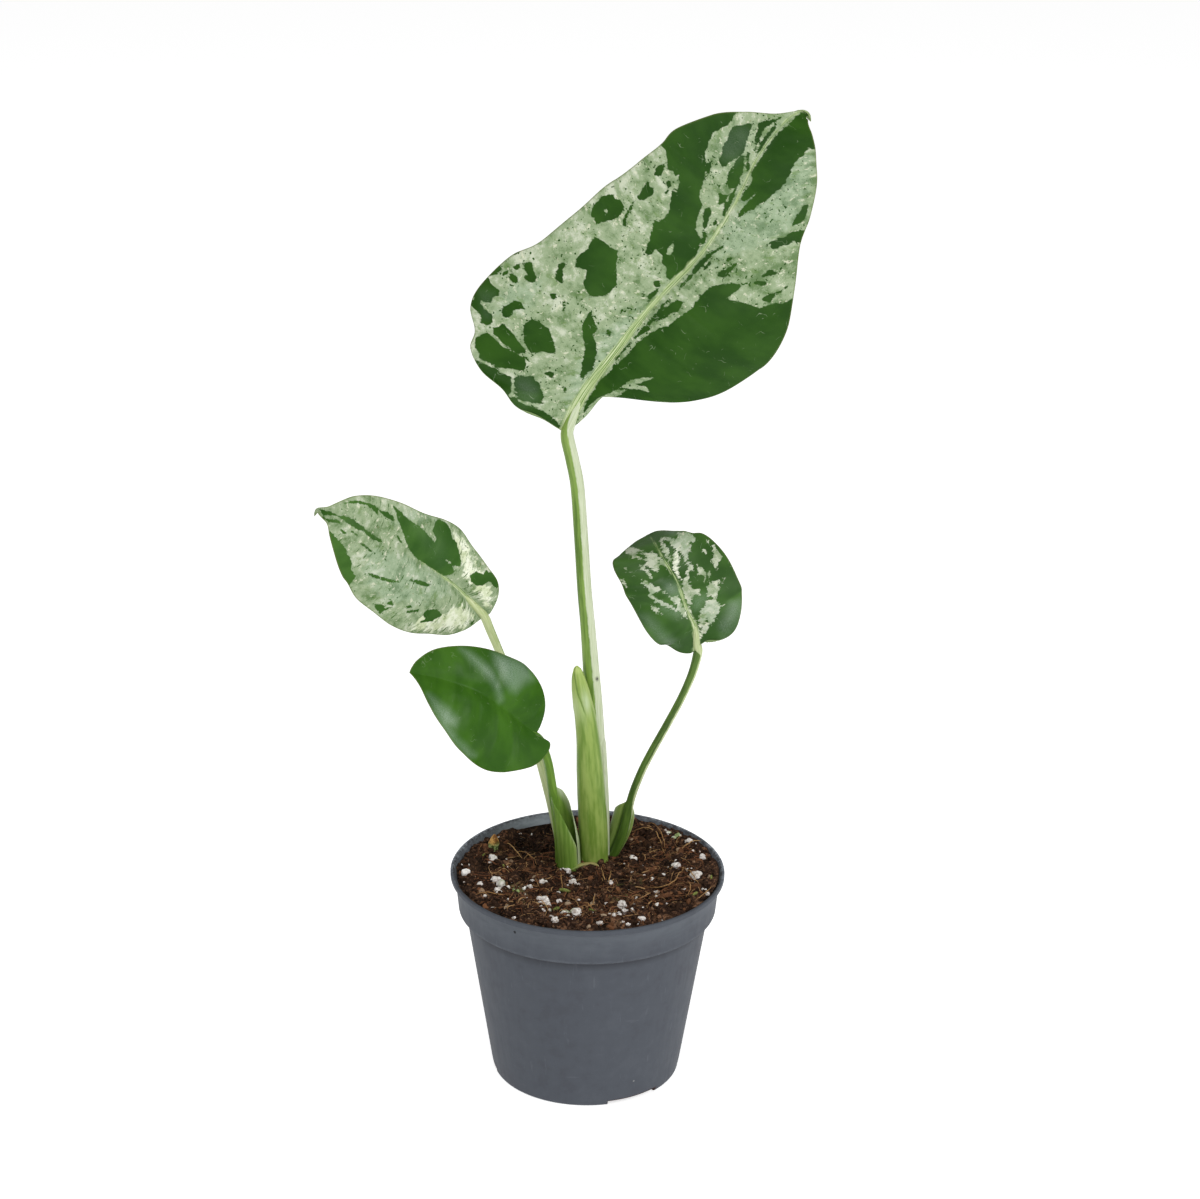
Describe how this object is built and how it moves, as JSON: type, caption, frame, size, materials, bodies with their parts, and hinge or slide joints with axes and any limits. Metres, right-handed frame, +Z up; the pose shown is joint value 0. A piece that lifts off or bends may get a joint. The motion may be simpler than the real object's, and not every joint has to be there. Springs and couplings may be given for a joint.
{
  "type": "potted monstera plant",
  "caption": "Young variegated monstera in a round grey nursery pot: upright petioles carry heart-shaped marbled leaves above dark soil, with a new leaf still rolled beside the tallest.",
  "frame": {"origin": "on the pot's axis, on the plane that the pot stands on", "axes": "+Z up along the pot's axis; -Y is the plant's front; +X is to the right of the front"},
  "size_m": [0.2084, 0.12, 0.4191],
  "materials": {
    "pot": "matt injection-moulded polypropylene with a faint sheen, light scuffs and dust",
    "potting_soil": "moist coir and peat crumbs, matt",
    "stem": "matt, green-brown",
    "petiole": "satin green with pale cream stripes",
    "variegated_leaf": "satin-gloss, deep green marbled with pale grey-green and cream",
    "green_leaf": "glossy deep green",
    "new_leaf": "satin light green with fine lengthwise lines",
    "old_sheath": "matt, dry tan-green",
    "perlite": "matt porous white",
    "coir": "matt red-brown"
  },
  "bodies": {
    "root": {"pot": "pot", "potting_soil": "potting_soil", "root_crown": "stem", "tall_petiole": "petiole", "left_petiole": "petiole", "front_petiole": "petiole", "right_petiole": "petiole", "tall_leaf": "variegated_leaf", "left_leaf": "variegated_leaf", "right_leaf": "variegated_leaf", "front_leaf": "green_leaf", "new_leaf_spear": "new_leaf", "old_sheath": "old_sheath", "perlite_00": "perlite", "perlite_01": "perlite", "perlite_02": "perlite", "perlite_03": "perlite", "perlite_04": "perlite", "perlite_05": "perlite", "perlite_06": "perlite", "perlite_07": "perlite", "perlite_08": "perlite", "perlite_09": "perlite", "perlite_10": "perlite", "perlite_11": "perlite", "perlite_12": "perlite", "perlite_13": "perlite", "perlite_14": "perlite", "perlite_15": "perlite", "perlite_16": "perlite", "perlite_17": "perlite", "perlite_18": "perlite", "perlite_19": "perlite", "coir_chip_00": "coir", "coir_chip_01": "coir", "coir_chip_02": "coir", "coir_chip_03": "coir", "coir_chip_04": "coir", "coir_chip_05": "coir"}
  },
  "joints": []
}
